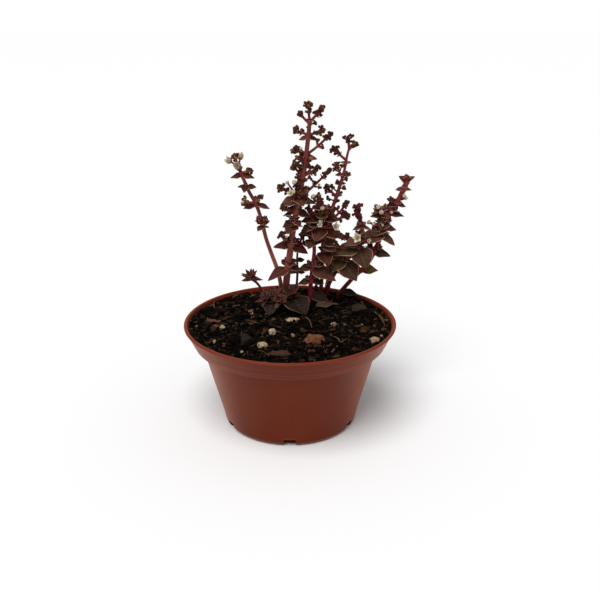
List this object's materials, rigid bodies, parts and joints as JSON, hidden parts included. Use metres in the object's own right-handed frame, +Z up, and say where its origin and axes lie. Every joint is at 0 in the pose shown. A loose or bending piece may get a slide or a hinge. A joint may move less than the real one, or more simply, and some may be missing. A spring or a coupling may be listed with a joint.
{
  "type": "potted red-leaved crassula",
  "caption": "Young red-stemmed succulent herb with small pointed leaves and cream flowers in a shallow terracotta-coloured plastic nursery pot",
  "frame": {"origin": "Middle of the flat underside of the pot, which the part stands on.", "axes": "+Z up along the pot's axis, +X to the right and -Y towards the viewer in the part's usual view."},
  "size_m": [0.1327, 0.12, 0.1789],
  "materials": {
    "pot_plastic": "satin",
    "potting_mix": "matte",
    "bark": "matte",
    "pale_grain": "matte",
    "dry_leaf": "matte",
    "foliage": "satin",
    "petal": "matte"
  },
  "bodies": {
    "root": {"pot": "pot_plastic", "soil": "potting_mix", "bark_chip_front": "bark", "bark_chip_rim": "bark", "bark_chip_right": "bark", "bark_chip_left": "bark", "bark_sliver": "bark", "perlite_large": "pale_grain", "perlite_oval": "pale_grain", "perlite_long": "pale_grain", "perlite_left": "pale_grain", "perlite_right": "pale_grain", "pale_stone": "pale_grain", "fallen_leaf": "dry_leaf", "leafy_stem_main": "foliage", "leafy_stem_thin": "foliage", "leafy_stem_left": "foliage", "leafy_stem_star": "foliage", "leafy_stem_low_left": "foliage", "leafy_stem_low_front": "foliage", "leafy_stem_centre": "foliage", "leafy_stem_tall_right": "foliage", "leafy_stem_right": "foliage", "leafy_stem_arched": "foliage", "bloom_main_1": "petal", "bloom_main_2": "petal", "bloom_left_1": "petal", "bloom_left_2": "petal", "bloom_left_3": "petal", "bloom_centre_1": "petal", "bloom_centre_2": "petal", "bloom_right_1": "petal", "bloom_right_2": "petal", "bloom_arched_1": "petal", "bloom_arched_2": "petal", "bloom_arched_3": "petal", "bloom_arched_4": "petal"}
  },
  "joints": []
}
